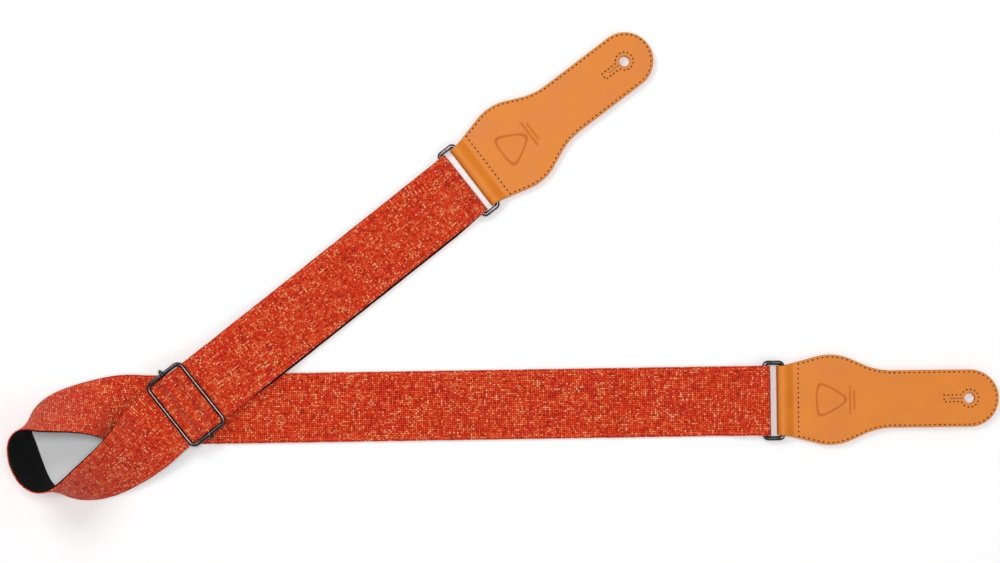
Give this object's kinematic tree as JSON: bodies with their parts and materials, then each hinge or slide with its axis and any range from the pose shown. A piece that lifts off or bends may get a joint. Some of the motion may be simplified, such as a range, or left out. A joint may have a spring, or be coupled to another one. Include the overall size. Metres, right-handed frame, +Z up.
{
  "type": "guitar strap",
  "caption": "Adjustable webbing guitar strap laid in a V with a standing loop: wire slider, wire rings, and stitched leather ends with slit button holes.",
  "frame": {"origin": "centre of the whole laid strap's bounding box in plan, on the table it lies on", "axes": "+X to the right along the lower run, from the standing loop to its leather end; +Y across the table towards the diagonal run's leather end; +Z up off the table"},
  "size_m": [0.6988, 0.3343, 0.0501],
  "materials": {
    "face_fabric": "coarse slubby plain weave, orange-red",
    "backing_webbing": "black woven webbing",
    "face_thread": "sewing thread matched to the face",
    "dark_nickel": "polished dark nickel plate",
    "leather": "smooth tan leather",
    "leather_thread": "tan sewing thread"
  },
  "bodies": {
    "strap": {"strap_backing": "backing_webbing", "strap_face": "face_fabric", "strap_seam_inner": "face_thread", "strap_seam_outer": "face_thread", "ring_a_tack": "face_thread", "slider_tack": "face_thread", "slider_bar": "dark_nickel"},
    "slider": {"slider_frame": "dark_nickel"},
    "ring_a": {"ring_a": "dark_nickel"},
    "tab_a": {"tab_a_leather": "leather", "tab_a_lining": "leather", "tab_a_seam_top": "leather_thread", "tab_a_seam_bottom": "leather_thread", "tab_a_keyhole_top": "leather_thread", "tab_a_keyhole_bottom": "leather_thread"},
    "ring_b": {"ring_b": "dark_nickel"},
    "tab_b": {"tab_b_leather": "leather", "tab_b_lining": "leather", "tab_b_seam_top": "leather_thread", "tab_b_seam_bottom": "leather_thread", "tab_b_keyhole_top": "leather_thread", "tab_b_keyhole_bottom": "leather_thread"}
  },
  "joints": [
    {"name": "slider_play", "type": "slide", "parent": "strap", "child": "slider", "axis": [0.7826, 0.6225, 0], "range_m": [-0.0025, 0.004]},
    {"name": "ring_a_swing", "type": "hinge", "parent": "strap", "child": "ring_a", "pos_m": [0.1826, -0.0954, 0.00425], "axis": [0.014, -0.9999, 0], "range_deg": [-75, 75]},
    {"name": "tab_a_swing", "type": "hinge", "parent": "ring_a", "child": "tab_a", "pos_m": [0.1952, -0.09522, 0.00425], "axis": [0.014, -0.9999, 0], "range_deg": [-105, 105]},
    {"name": "ring_b_swing", "type": "hinge", "parent": "strap", "child": "ring_b", "pos_m": [-0.0335, 0.0578, 0.00425], "axis": [0.615, -0.7885, 0], "range_deg": [-75, 75]},
    {"name": "tab_b_swing", "type": "hinge", "parent": "ring_b", "child": "tab_b", "pos_m": [-0.02356, 0.06555, 0.00425], "axis": [0.615, -0.7885, 0], "range_deg": [-105, 105]}
  ]
}
